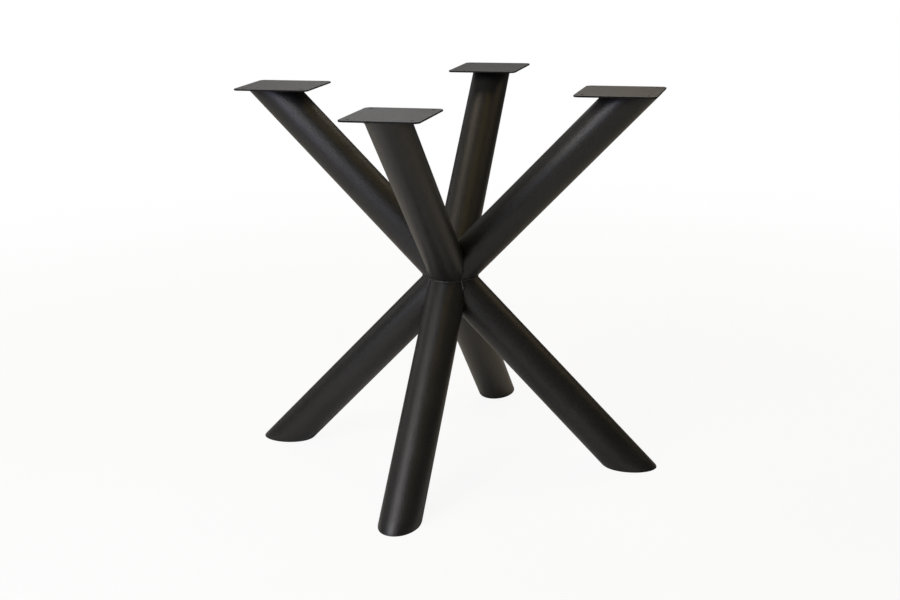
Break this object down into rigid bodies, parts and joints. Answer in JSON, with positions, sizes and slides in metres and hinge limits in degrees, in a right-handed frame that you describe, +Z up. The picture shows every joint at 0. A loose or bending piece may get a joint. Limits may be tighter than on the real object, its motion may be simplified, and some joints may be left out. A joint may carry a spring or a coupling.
{
  "type": "table base",
  "caption": "Welded tubular table base with crossing round tubes, a mitred hub, flat screw plates for the top and level floor glides, matt black.",
  "frame": {"origin": "on the floor, under the middle of the hub", "axes": "+Z up; +X out along one arm and leg, +Y out along the next, so that the four feet lie on the X and Y axes"},
  "size_m": [0.8048, 0.8048, 0.72],
  "materials": {
    "coated_steel_tube": "matt fine-texture black powder coat on steel tube",
    "coated_steel_plate": "matt fine-texture black powder coat on flat steel plate",
    "coated_weld": "black powder coat over rippled weld bead",
    "glide_plastic": "moulded black polyethylene"
  },
  "bodies": {
    "root": {"upper_arm_right": "coated_steel_tube", "lower_leg_right": "coated_steel_tube", "mounting_plate_right": "coated_steel_plate", "floor_glide_right": "glide_plastic", "upper_arm_back": "coated_steel_tube", "lower_leg_back": "coated_steel_tube", "mounting_plate_back": "coated_steel_plate", "floor_glide_back": "glide_plastic", "upper_arm_left": "coated_steel_tube", "lower_leg_left": "coated_steel_tube", "mounting_plate_left": "coated_steel_plate", "floor_glide_left": "glide_plastic", "upper_arm_front": "coated_steel_tube", "lower_leg_front": "coated_steel_tube", "mounting_plate_front": "coated_steel_plate", "floor_glide_front": "glide_plastic", "weld_beads": "coated_weld"}
  },
  "joints": []
}
